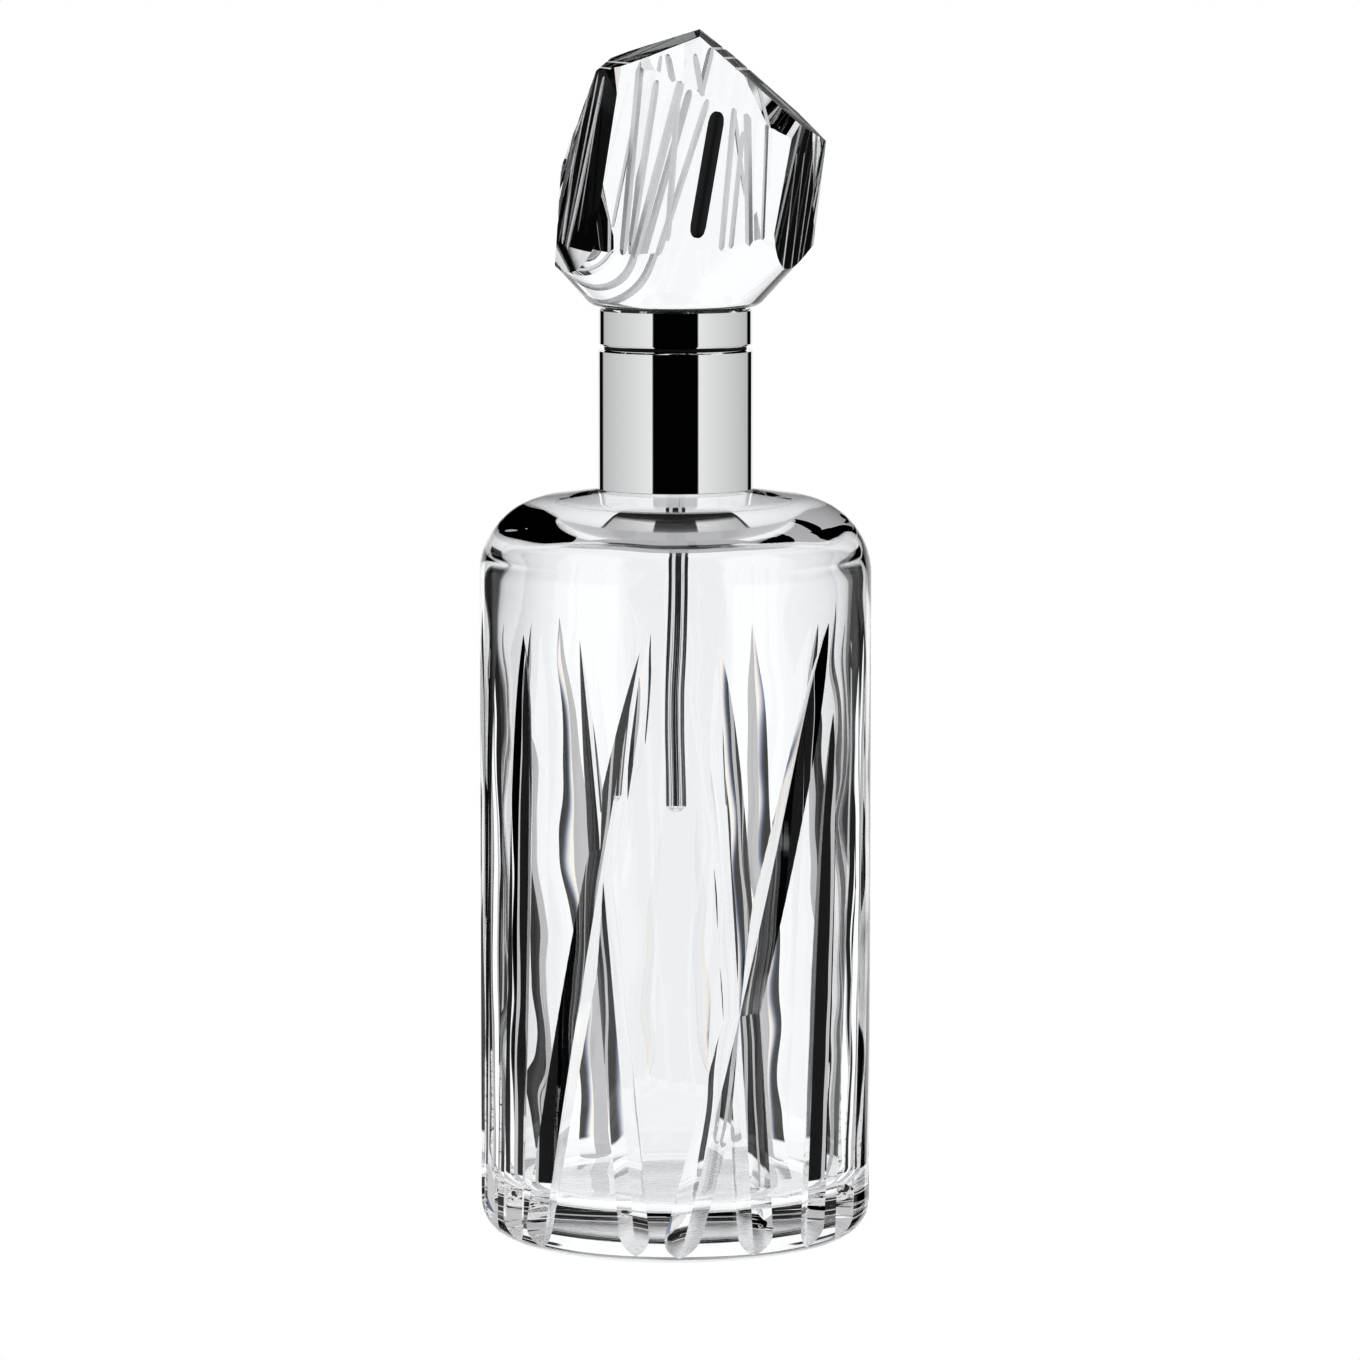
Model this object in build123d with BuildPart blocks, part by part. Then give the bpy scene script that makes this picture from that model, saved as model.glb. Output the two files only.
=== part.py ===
from build123d import *
import os
from math import cos, exp, radians, sin, tan

# Cut crystal decanter with a metal collar and a crystal-knobbed stopper.
# Frame: millimetres, +Z up, origin on the table under the bottle's axis.
# The side with the two long crossing cuts faces -Y, and angles run from -Y towards +X.

os.makedirs("parts", exist_ok=True)

# ---------------------------------------------------------------- driving dimensions
# crystal bottle
BODY_RADIUS = 47.5
CAVITY_RADIUS = 42.3
BASE_THICKNESS = 12.0
FOOT_ROUND = 8.0
CAVITY_FOOT_ROUND = 6.0
SHOULDER_START = 161.6        # height where the outer shoulder starts to turn in
SHOULDER_ROUND = 19.0
SHOULDER_TURN = 83.0          # degrees of that round
CAVITY_SHOULDER_START = 165.0
CAVITY_SHOULDER_ROUND = 7.0
CAVITY_SHOULDER_TURN = 70.0
CAVITY_ROOF_SLOPE = 18.0
NECK_RADIUS = 16.6
NECK_BORE = 13.5
NECK_START = 182.2
NECK_TOP = 213.8

# mitre cuts in the bottle's wall
CUT_DEPTH = 3.1
FLAT_SIDE = 62.0              # half angle of the flatter face of every cut
SHORT_STEEP_SIDE = 56.0       # half angle of the short cuts' steeper face
CUT_CLEARANCE = 1.6           # how far a cutter stands out of the wall
CUT_OVERRUN = 1.0             # length of cutter past a faded end
CUT_FOOT = -1.0               # cuts run out through the base
CUT_SECTIONS = 22

# metal collar
SLEEVE_RADIUS = 18.8
SLEEVE_BORE = 16.9
SLEEVE_TOP = 216.2
SLEEVE_LIP_BORE = 12.6
SLEEVE_EDGE = 0.5
LINER_BORE = 12.0
LINER_BOTTOM = 186.0

# stopper
SEAL_THICKNESS = 0.8
SEAL_RADIUS = 17.2
PLUG_RADIUS = 11.6
PLUG_BOTTOM = 193.0
STUD_RADIUS = 5.0
STUD_LENGTH = 7.0
O_RING_SECTION = 1.0          # radius of the rubber cord
O_RING_CLEARANCE = 0.05
GROOVE_HEIGHT = 2.4
O_RING_HEIGHTS = {"lower": 200.0, "upper": 208.0}
RING_RADIUS = 18.6
RING_HEIGHT = 9.0
ROD_RADIUS = 2.45
ROD_END = 103.4
ROD_GRIP = 16.0               # length of rod held in the plug
FERRULE_RADIUS = 5.2
FERRULE_HEIGHT = 6.0
BOND_RADIUS = 17.0
BOND_THICKNESS = 0.4

# derived levels
LIP_UNDERSIDE = NECK_TOP + 0.2
SEAT = SLEEVE_TOP
RING_BOTTOM = SEAT + SEAL_THICKNESS
RING_TOP = RING_BOTTOM + RING_HEIGHT
KNOB_BOTTOM = RING_TOP + BOND_THICKNESS
KNOB_CENTRE = 258.0
O_RING_PATH = LINER_BORE - O_RING_CLEARANCE - O_RING_SECTION
GROOVE_FLOOR = O_RING_PATH - O_RING_SECTION - O_RING_CLEARANCE

# Mitre cuts: angle and height of the pointed upper end, angle at the foot, full depth as a
# share of CUT_DEPTH, the run over which the cut deepens, and the half angle of its steeper
# face, which is the one nearer the bottle's left or right outline.
LONG_CUTS = [
    (-28.4, 150.0, -11.8, 0.8, 40.0, 53.0),
    (-10.1, 147.5, -46.3, 1.0, 30.0, 52.0),
    (12.6, 149.0, 25.2, 1.0, 20.0, 54.0),
    (50.2, 152.7, 0.8, 1.0, 14.0, 51.5),
    (52.5, 131.0, 44.5, 0.9, 22.0, 51.0),
    (72.0, 152.0, 60.0, 1.0, 18.0, 51.0),
    (-49.5, 150.0, -57.0, 1.0, 18.0, 51.0),
    (-64.0, 146.0, -71.0, 0.9, 22.0, 51.0),
    (-79.0, 154.0, -85.0, 0.95, 20.0, 51.0),
    (-101.0, 150.0, -93.0, 1.0, 24.0, 51.0),
    (-119.5, 147.5, -126.0, 0.95, 22.0, 51.0),
    (-139.5, 147.0, -153.5, 1.0, 24.0, 51.0),
    (153.8, 146.0, 142.0, 0.95, 24.0, 51.0),
    (125.0, 147.5, 113.0, 1.0, 20.0, 51.0),
    (95.0, 150.0, 105.0, 1.0, 20.0, 51.0),
    (112.0, 153.0, 84.0, 1.0, 20.0, 51.0),
]
# Cuts that fade out at both ends: angle and height of each end, share of CUT_DEPTH, and the
# runs over which they deepen from the upper and the lower end.
SHORT_CUTS = [
    (-6.9, 152.5, -14.2, 110.0, 0.55, 16.0, 10.0),
    (174.2, 98.0, 168.2, 31.0, 0.6, 45.0, 9.0),
    (-174.5, 98.0, -169.4, 29.0, 0.5, 45.0, 9.0),
]

# Knob facets: azimuth and elevation of the outward normal, distance from the knob's centre.
SIDE_FACETS = [(-2, 2, 24.0), (-64, 8.8, 25.2), (68, -9, 32.9), (-116, -2.5, 24.1),
               (114, -3, 31.5), (176, -3, 23.6), (-150, 10, 24.8), (150, 6, 27.4)]
UPPER_FACETS = [(21, 39.4, 31.35), (0, 35, 33.4), (-95, 22, 26.0), (184, 47, 33.35)]
ROOF_FACETS = [(-78.4, 71.3, 30.4), (85.4, 49.7, 29.73)]

# Rounded bowl under the facets, a squared oval that widens upwards: half widths across and
# front to back at its foot, how fast they grow, and how square the oval is.
BOWL_FOOT = (20.0, 18.7)
BOWL_GROWTH = (0.9, 0.42)
BOWL_SQUARE = 2.0
BOWL_SQUARE_GROWTH = 0.12
BOWL_SQUARE_MOST = 4.5
BOWL_LIP = 1.4                # rounding at the bowl's foot
BOWL_RISES = (0.0, 0.2, 0.7, 1.4, 5.0, 9.0, 13.0, 17.0, 21.0, 26.0, 31.0, 37.0, 75.0)
BOWL_POINTS = 24
LINE_HALF_ANGLE = 57.0
LINE_STAND = 0.4              # how far a line cutter stands out of its facet

# Thin mitre lines on the knob: start and end measured on the facet from the point nearest
# the knob's centre (across, up), and the line's width.
KNOB_LINES = {
    0: [((-7.4, 27.0), (-11.6, -19.2), 1.9), ((-3.6, 22.2), (-9.7, -16.8), 1.7),
        ((2.4, 22.7), (-9.2, -21.1), 2.1), ((1.4, 18.2), (-1.0, -15.8), 1.5),
        ((8.5, 17.7), (-3.6, -20.1), 1.6), ((14.9, 16.8), (11.4, -21.6), 1.4),
        ((17.8, 20.1), (18.5, -25.8), 1.8), ((16.8, 10.1), (13.5, -22.5), 1.2),
        ((22.7, 16.8), (21.3, -21.8), 0.9)],
    1: [((-8.5, 19.0), (-13.0, -19.0), 0.8), ((-4.2, 20.0), (-9.6, -20.0), 0.9),
        ((-1.0, 21.0), (-6.6, -20.0), 0.8), ((2.6, 21.0), (-2.6, -21.0), 0.9),
        ((5.4, 20.0), (3.4, -17.0), 0.7)],
    2: [((-7.6, 11.0), (-5.0, -21.0), 0.9), ((-2.6, 11.0), (0.6, -20.0), 0.7),
        ((3.4, 10.0), (4.4, -19.0), 0.8), ((8.0, 10.0), (6.6, -17.0), 0.7)],
    3: [((-5.0, 14.0), (-1.0, -18.0), 1.2), ((2.0, 14.0), (-2.0, -19.0), 0.9)],
    4: [((-4.0, 10.0), (2.0, -18.0), 1.2), ((5.0, 11.0), (1.0, -19.0), 1.0)],
    5: [((7.6, 20.0), (11.9, -19.0), 1.6), ((-2.4, 21.0), (9.4, -21.0), 1.8),
        ((-18.2, 17.0), (-19.0, -22.0), 1.5)],
    6: [((-3.0, 13.0), (1.0, -18.0), 1.1)],
    7: [((-2.0, 12.0), (-4.5, -18.0), 1.2), ((4.0, 12.0), (2.0, -18.0), 1.0)],
}
BEVEL_LINES = [((-8.4, 12.0), (-9.2, 2.0), 1.7), ((-1.4, 12.0), (-3.0, -3.5), 1.5)]
ROOF_LINES = {
    0: [((-20.0, -9.0), (20.0, -9.6), 0.8), ((-20.0, -5.2), (20.0, -5.6), 0.9)],
    1: [((-22.0, 12.0), (22.0, 11.6), 0.9), ((-22.0, 8.6), (22.0, 8.0), 0.8),
        ((-22.0, 4.6), (22.0, 4.0), 1.0)],
}
# The one broad line on the front facet.
BROAD_LINE = ((10.9, 14.8), (5.8, -15.0), 3.7)


# ---------------------------------------------------------------- helpers
def radial(radius, angle):
    """A point in plan, at an angle from the front."""
    return (radius * sin(radians(angle)), -radius * cos(radians(angle)))


def face_angles(first_angle, last_angle, steep_side):
    """Half angles of a cut's faces on its +angle and -angle sides."""
    on_right = sin(radians(first_angle + last_angle)) > 0
    return (steep_side, FLAT_SIDE) if on_right else (FLAT_SIDE, steep_side)


def cut_section(angle, depth, half_angles):
    """Triangle of a cutter at one height: its edge in the wall, its back outside it."""
    back = radial(BODY_RADIUS + CUT_CLEARANCE, angle)
    corners = [radial(BODY_RADIUS - depth, angle)]
    for side, half_angle in zip((1, -1), half_angles):
        across = radial(side * (depth + CUT_CLEARANCE) * tan(radians(half_angle)), angle + 90)
        corners.append((back[0] + across[0], back[1] + across[1]))
    return corners


def loft_sections(sections):
    """Ruled solid through (height, corner list) sections."""
    with BuildPart() as cutter:
        for height, corners in sections:
            with BuildSketch(Plane.XY.offset(height)):
                with BuildLine():
                    Polyline(*corners, close=True)
                make_face()
        loft(ruled=True)
    return cutter.part


def long_cutter(tip_angle, tip_height, foot_angle, share, run, steep_side):
    """Cut that starts at a point, deepens, and runs out through the base."""
    faces = face_angles(tip_angle, foot_angle, steep_side)
    top = tip_height + CUT_OVERRUN
    sections = []
    for step in range(CUT_SECTIONS + 1):
        height = top + (CUT_FOOT - top) * (step / CUT_SECTIONS) ** 1.5
        fall = (tip_height - height) / tip_height
        angle = tip_angle + (foot_angle - tip_angle) * fall
        depth = share * CUT_DEPTH * (1 - exp((height - tip_height) / run))
        sections.append((height, cut_section(angle, depth, faces)))
    return loft_sections(sections)


def short_cutter(tip_angle, tip_height, end_angle, end_height, share, top_run, low_run):
    """Cut that fades out at both ends."""
    faces = face_angles(tip_angle, end_angle, SHORT_STEEP_SIDE)
    top = tip_height + CUT_OVERRUN
    bottom = end_height - CUT_OVERRUN
    sections = []
    for step in range(CUT_SECTIONS + 1):
        height = top + (bottom - top) * step / CUT_SECTIONS
        fall = (tip_height - height) / (tip_height - end_height)
        angle = tip_angle + (end_angle - tip_angle) * fall
        fade = max(exp((height - tip_height) / top_run), exp((end_height - height) / low_run))
        sections.append((height, cut_section(angle, share * CUT_DEPTH * (1 - fade), faces)))
    return loft_sections(sections)


def bowl_section(rise):
    """Corner points of the knob's bowl at a height over its foot."""
    lip = max(0.0, 1 - rise / BOWL_LIP)
    inset = BOWL_LIP * (1 - (1 - lip ** 2) ** 0.5)
    square = min(BOWL_SQUARE + BOWL_SQUARE_GROWTH * rise, BOWL_SQUARE_MOST)
    half_x, half_y = (foot + growth * rise - inset
                      for foot, growth in zip(BOWL_FOOT, BOWL_GROWTH))
    points = []
    for step in range(BOWL_POINTS):
        turn = radians(360 * step / BOWL_POINTS)
        size = (abs(cos(turn)) ** square + abs(sin(turn)) ** square) ** (-1 / square)
        points.append((half_x * size * cos(turn), half_y * size * sin(turn)))
    return points


def facet_plane(azimuth, elevation, distance):
    """Plane of a knob facet, its z axis pointing out of the knob."""
    flat = radial(cos(radians(elevation)), azimuth)
    normal = Vector(flat[0], flat[1], sin(radians(elevation)))
    across = radial(1, azimuth + 90)
    origin = Vector(0, 0, KNOB_CENTRE) + normal * distance
    return Plane(origin=origin, x_dir=(across[0], across[1], 0), z_dir=normal)


def line_cutter(facet, start, end, width):
    """V-edged bar that scores one thin line into a facet."""
    slant = tan(radians(LINE_HALF_ANGLE))
    depth = width / 2 / slant
    half = (depth + LINE_STAND) * slant
    a = facet.from_local_coords(Vector(start[0], start[1], 0))
    b = facet.from_local_coords(Vector(end[0], end[1], 0))
    section = Plane(origin=a, x_dir=(b - a).cross(facet.z_dir), z_dir=b - a)
    outward = section.to_local_coords(a + facet.z_dir)
    with BuildPart() as bar:
        with BuildSketch(section):
            with BuildLine():
                Polyline((0, -depth * outward.Y), (half, LINE_STAND * outward.Y),
                         (-half, LINE_STAND * outward.Y), close=True)
            make_face()
        extrude(amount=(b - a).length)
    return bar.part


# ---------------------------------------------------------------- crystal bottle
mitre_cutters = [long_cutter(*cut) for cut in LONG_CUTS]
mitre_cutters += [short_cutter(*cut) for cut in SHORT_CUTS]

with BuildPart() as crystal_body:
    with BuildSketch(Plane.XZ):
        with BuildLine():
            foot = Line((0, 0), (BODY_RADIUS - FOOT_ROUND, 0))
            foot_round = CenterArc((BODY_RADIUS - FOOT_ROUND, FOOT_ROUND), FOOT_ROUND, -90, 90)
            shoulder = CenterArc((BODY_RADIUS - SHOULDER_ROUND, SHOULDER_START),
                                 SHOULDER_ROUND, 0, SHOULDER_TURN)
            Line(foot_round @ 1, shoulder @ 0)
            roof = Line(shoulder @ 1, (NECK_RADIUS, NECK_START))
            Polyline(roof @ 1, (NECK_RADIUS, NECK_TOP), (NECK_BORE, NECK_TOP))
            inner = CenterArc((CAVITY_RADIUS - CAVITY_SHOULDER_ROUND, CAVITY_SHOULDER_START),
                              CAVITY_SHOULDER_ROUND, 0, CAVITY_SHOULDER_TURN)
            inner_top = inner @ 1
            throat = inner_top.Y + (inner_top.X - NECK_BORE) * tan(radians(CAVITY_ROOF_SLOPE))
            Polyline((NECK_BORE, NECK_TOP), (NECK_BORE, throat), inner_top)
            inner_foot = CenterArc((CAVITY_RADIUS - CAVITY_FOOT_ROUND,
                                    BASE_THICKNESS + CAVITY_FOOT_ROUND), CAVITY_FOOT_ROUND, -90, 90)
            Line(inner_foot @ 1, inner @ 0)
            Polyline(inner_foot @ 0, (0, BASE_THICKNESS), (0, 0))
        make_face()
    revolve(axis=Axis.Z)
    add(mitre_cutters, mode=Mode.SUBTRACT)
crystal_body.part.label = "crystal_body"

# ---------------------------------------------------------------- metal collar
with BuildPart() as neck_sleeve:
    with BuildSketch(Plane.XY.offset(NECK_START)):
        Circle(SLEEVE_RADIUS)
    extrude(amount=SLEEVE_TOP - NECK_START)
    with BuildSketch(Plane.XY.offset(NECK_START)):
        Circle(SLEEVE_BORE)
    extrude(amount=LIP_UNDERSIDE - NECK_START, mode=Mode.SUBTRACT)
    with BuildSketch(Plane.XY.offset(SLEEVE_TOP)):
        Circle(SLEEVE_LIP_BORE)
    extrude(amount=LIP_UNDERSIDE - SLEEVE_TOP, mode=Mode.SUBTRACT)
    rims = neck_sleeve.edges().filter_by(GeomType.CIRCLE).sort_by(SortBy.RADIUS)[-2:]
    chamfer(rims.sort_by(Axis.Z)[-1], length=SLEEVE_EDGE)
    fillet(neck_sleeve.edges().filter_by(GeomType.CIRCLE).group_by(Axis.Z)[0]
           .sort_by(SortBy.RADIUS)[-1], radius=SLEEVE_EDGE / 2)
neck_sleeve.part.label = "neck_sleeve"

with BuildPart() as neck_cement:
    with BuildSketch(Plane.XY.offset(NECK_START + 1)):
        Circle(SLEEVE_BORE)
        Circle(NECK_RADIUS, mode=Mode.SUBTRACT)
    extrude(amount=NECK_TOP - NECK_START - 2)
neck_cement.part.label = "neck_cement"

with BuildPart() as neck_liner:
    with BuildSketch(Plane.XY.offset(LINER_BOTTOM)):
        Circle(NECK_BORE)
        Circle(LINER_BORE, mode=Mode.SUBTRACT)
    extrude(amount=NECK_TOP - LINER_BOTTOM)
    chamfer(neck_liner.edges().filter_by(GeomType.CIRCLE).group_by(Axis.Z)[-1]
            .sort_by(SortBy.RADIUS)[0], length=SLEEVE_EDGE)
neck_liner.part.label = "neck_liner"

# ---------------------------------------------------------------- stopper metalwork
with BuildPart() as seal_washer:
    with BuildSketch(Plane.XY.offset(SEAT)):
        Circle(SEAL_RADIUS)
        Circle(PLUG_RADIUS, mode=Mode.SUBTRACT)
    extrude(amount=SEAL_THICKNESS)
seal_washer.part.label = "seal_washer"

with BuildPart() as stopper_plug:
    with BuildSketch(Plane.XY.offset(PLUG_BOTTOM)):
        Circle(PLUG_RADIUS)
    extrude(amount=RING_BOTTOM - PLUG_BOTTOM)
    chamfer(stopper_plug.edges().filter_by(GeomType.CIRCLE).group_by(Axis.Z)[0], length=1.2)
    with BuildSketch(Plane.XY.offset(RING_BOTTOM)):
        Circle(STUD_RADIUS)
    extrude(amount=STUD_LENGTH)
    for height in O_RING_HEIGHTS.values():
        with BuildSketch(Plane.XY.offset(height - GROOVE_HEIGHT / 2)):
            Circle(PLUG_RADIUS + 1)
            Circle(GROOVE_FLOOR, mode=Mode.SUBTRACT)
        extrude(amount=GROOVE_HEIGHT, mode=Mode.SUBTRACT)
    with BuildSketch(Plane.XY.offset(PLUG_BOTTOM)):
        Circle(ROD_RADIUS)
    extrude(amount=ROD_GRIP, mode=Mode.SUBTRACT)
stopper_plug.part.label = "stopper_plug"


def make_o_ring(height):
    with BuildPart() as o_ring:
        with BuildSketch(Plane.XZ):
            with Locations((O_RING_PATH, height)):
                Circle(O_RING_SECTION)
        revolve(axis=Axis.Z)
    return o_ring.part


o_rings = {f"o_ring_{place}": make_o_ring(height) for place, height in O_RING_HEIGHTS.items()}

with BuildPart() as rod_ferrule:
    with BuildSketch(Plane.XY.offset(PLUG_BOTTOM - FERRULE_HEIGHT)):
        Circle(FERRULE_RADIUS)
        Circle(ROD_RADIUS, mode=Mode.SUBTRACT)
    extrude(amount=FERRULE_HEIGHT)
    chamfer(rod_ferrule.edges().filter_by(GeomType.CIRCLE).group_by(Axis.Z)[0]
            .sort_by(SortBy.RADIUS)[-1], length=1.8)
rod_ferrule.part.label = "rod_ferrule"

with BuildPart() as dip_rod:
    with BuildSketch(Plane.XY.offset(ROD_END)):
        Circle(ROD_RADIUS)
    extrude(amount=PLUG_BOTTOM + ROD_GRIP - ROD_END)
    fillet(dip_rod.edges().group_by(Axis.Z)[0], radius=ROD_RADIUS * 0.8)
dip_rod.part.label = "dip_rod"

with BuildPart() as stopper_ring:
    with BuildSketch(Plane.XY.offset(RING_BOTTOM)):
        Circle(RING_RADIUS)
        Circle(STUD_RADIUS, mode=Mode.SUBTRACT)
    extrude(amount=RING_HEIGHT)
    rims = stopper_ring.edges().filter_by(GeomType.CIRCLE).sort_by(SortBy.RADIUS)[-2:]
    chamfer(rims, length=SLEEVE_EDGE)
stopper_ring.part.label = "stopper_ring"

# ---------------------------------------------------------------- crystal knob
with BuildPart() as knob_bond:
    with BuildSketch(Plane.XY.offset(RING_TOP)):
        Circle(BOND_RADIUS)
    extrude(amount=BOND_THICKNESS)
knob_bond.part.label = "knob_bond"

line_cutters = [line_cutter(facet_plane(*SIDE_FACETS[facet]), *line)
                for facet, lines in KNOB_LINES.items() for line in lines]
line_cutters += [line_cutter(facet_plane(*UPPER_FACETS[0]), *line) for line in BEVEL_LINES]
line_cutters += [line_cutter(facet_plane(*ROOF_FACETS[facet]), *line)
                 for facet, lines in ROOF_LINES.items() for line in lines]
line_cutters.append(line_cutter(facet_plane(*SIDE_FACETS[0]), *BROAD_LINE))

with BuildPart() as crystal_knob:
    for rise in BOWL_RISES:
        with BuildSketch(Plane.XY.offset(KNOB_BOTTOM + rise)):
            with BuildLine():
                Spline(*bowl_section(rise), periodic=True)
            make_face()
    loft(ruled=True)
    for facet in SIDE_FACETS + UPPER_FACETS + ROOF_FACETS:
        split(bisect_by=facet_plane(*facet), keep=Keep.BOTTOM)
    add(line_cutters, mode=Mode.SUBTRACT)
crystal_knob.part.label = "crystal_knob"

# ---------------------------------------------------------------- export
for piece in (crystal_body, neck_sleeve, neck_cement, neck_liner, seal_washer, stopper_plug,
              rod_ferrule, dip_rod, stopper_ring, knob_bond, crystal_knob):
    export_step(piece.part, f"parts/{piece.part.label}.step")
for name, ring in o_rings.items():
    ring.label = name
    export_step(ring, f"parts/{name}.step")
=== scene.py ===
import bmesh
import bpy
from math import atan2, cos, exp, pi, radians, sin, tan
from mathutils import Matrix, Vector


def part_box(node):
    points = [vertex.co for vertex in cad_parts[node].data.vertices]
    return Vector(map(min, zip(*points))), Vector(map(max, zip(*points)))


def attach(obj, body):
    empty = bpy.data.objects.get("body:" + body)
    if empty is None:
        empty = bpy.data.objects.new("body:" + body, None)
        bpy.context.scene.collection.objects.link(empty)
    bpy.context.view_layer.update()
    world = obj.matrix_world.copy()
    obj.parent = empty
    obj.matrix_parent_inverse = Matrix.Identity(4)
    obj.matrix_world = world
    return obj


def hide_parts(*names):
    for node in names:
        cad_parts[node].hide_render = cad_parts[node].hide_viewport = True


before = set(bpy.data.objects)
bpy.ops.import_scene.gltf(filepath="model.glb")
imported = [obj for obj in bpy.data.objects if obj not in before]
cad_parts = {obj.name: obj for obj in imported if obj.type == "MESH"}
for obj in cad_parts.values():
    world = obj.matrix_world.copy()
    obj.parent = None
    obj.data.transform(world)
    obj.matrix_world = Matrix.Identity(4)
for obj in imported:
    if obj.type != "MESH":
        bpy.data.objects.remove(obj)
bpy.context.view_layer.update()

MM = 0.001

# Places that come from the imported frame, in metres.
ring_low, ring_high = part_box("stopper_ring")
rod_low, rod_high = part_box("dip_rod")
knob_low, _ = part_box("crystal_knob")
bond_low, bond_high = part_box("knob_bond")
washer_low, washer_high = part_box("seal_washer")

# ------------------------------------------------------------------ camera
LENS_MM = 162.5
SENSOR_MM = 36.0
CAMERA_DISTANCE = 1.492
CAMERA_PITCH = radians(6.4)
AIM = Vector((0.0011, 0.0, 0.1356))

camera = bpy.data.objects.new("camera", bpy.data.cameras.new("camera"))
bpy.context.collection.objects.link(camera)
camera.data.lens = LENS_MM
camera.data.sensor_width = SENSOR_MM
back = Vector((0, -cos(CAMERA_PITCH), sin(CAMERA_PITCH)))
camera.location = AIM + back * CAMERA_DISTANCE
camera.rotation_euler = (pi / 2 - CAMERA_PITCH, 0, 0)
bpy.context.scene.camera = camera


# ------------------------------------------------------------------ node helpers
class Nodes:
    """Short way to add and join shader nodes."""

    def __init__(self, tree):
        self.tree = tree
        tree.nodes.clear()

    def add(self, kind, **settings):
        node = self.tree.nodes.new("ShaderNode" + kind)
        for name, value in settings.items():
            setattr(node, name, value)
        return node

    def join(self, source, target):
        self.tree.links.new(source, target)

    def feed(self, node, values):
        """Links or sets a node's first inputs, and gives its first output."""
        for socket, value in zip(node.inputs, values):
            if hasattr(value, "links"):
                self.join(value, socket)
            else:
                socket.default_value = value
        return node.outputs[0]

    def math(self, operation, *values):
        return self.feed(self.add("Math", operation=operation), values)

    def mix(self, factor, a, b):
        return self.feed(self.add("MixRGB"), (factor, a, b))

    def multiply(self, a, b):
        return self.feed(self.add("MixRGB", blend_type="MULTIPLY"), (1.0, a, b))

    def ramp(self, factor, stops):
        """Colour ramp; a stop is a place from 0 to 1 and a grey level or a colour."""
        node = self.add("ValToRGB")
        bar = node.color_ramp.elements
        while len(bar) > 1:
            bar.remove(bar[-1])
        for i, (place, colour) in enumerate(stops):
            stop = bar[0] if i == 0 else bar.new(place)
            stop.position = place
            grey = not hasattr(colour, "__len__")
            stop.color = (colour,) * 3 + (1,) if grey else tuple(colour) + (1,)
        self.join(factor, node.inputs[0])
        return node.outputs[0]


# ------------------------------------------------------------------ studio light
# A white sweep behind the object, dark gaps at its sides, long softboxes left and right, a
# dark camera side, a dark ceiling and a white ground.

# Degrees round from the camera's side, the same to the left and to the right: where the dark
# front ends, where the softboxes end and the gaps begin, and where the gaps end. The metal and
# the glass's own mirrored light see one set, and light that passes through the glass another,
# whose gap ends sooner for rays that leave upwards.
FRONT_DARK = 34
SIDE_END, GAP_END = 138, 153
GLASS_SIDE_END, GLASS_GAP_END, GLASS_HIGH_GAP_END = 82, 152, 134
# Degrees above the horizon: where the upper gap takes over from the lower one, and where the
# dark ceiling begins for slightly rough metal, for mirror-smooth glass and through the glass.
HIGH_GAP_START, HIGH_GAP_FULL = 1, 3
METAL_CEILING, GLOSS_CEILING, GLASS_CEILING = 38, 5, 52
# Degrees below the horizon where the white ground begins, mirrored and through the glass.
METAL_GROUND, GLASS_GROUND = 50, 17
# Degrees over which the ceiling and the ground fade in.
CEILING_EDGE, GROUND_EDGE = 6, 5
DARK, METAL_FRONT = 0.004, 0.002
GAP_RIM_COOL, GAP_RIM_WARM = (0.3, 0.34, 0.45), (1.0, 0.95, 0.88)
GLASS_TINT = (0.985, 0.998, 1.01)
BACKDROP = 1.05
DIFFUSE_LIGHT = (0.9, 0.9, 0.9, 1)
WHITE = (1, 1, 1, 1)
CONTRAST_GAMMA = 0.75
# A ray with more bounces than LAST_BOUNCE, or mirrored more often than LAST_MIRROR, finds
# even light instead of the studio. The halves stand between two whole counts.
LAST_BOUNCE = 6.5
LAST_MIRROR = 3.5
TRAPPED_LIGHT = (0.6, 0.6, 0.61, 1)
MIRRORED_LIGHT = (0.85, 0.85, 0.86, 1)


def by_angle(pairs):
    """Ramp stops from degrees round from the camera's side."""
    return [(angle / 180, colour) for angle, colour in pairs]


def by_height(pairs):
    """Ramp stops from degrees above the horizon."""
    return [(0.5 + angle / 180, colour) for angle, colour in pairs]


def is_trapped(n, opened):
    """1 once a ray has bounced too often, or been mirrored too often where opened is 1."""
    path = n.add("LightPath")
    mirrored = n.math("GREATER_THAN", path.outputs["Glossy Depth"], LAST_MIRROR)
    mirrored_here = n.math("MULTIPLY", mirrored, opened)
    bounced = n.math("GREATER_THAN", path.outputs["Ray Depth"], LAST_BOUNCE)
    return n.math("MAXIMUM", bounced, mirrored_here)


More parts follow.
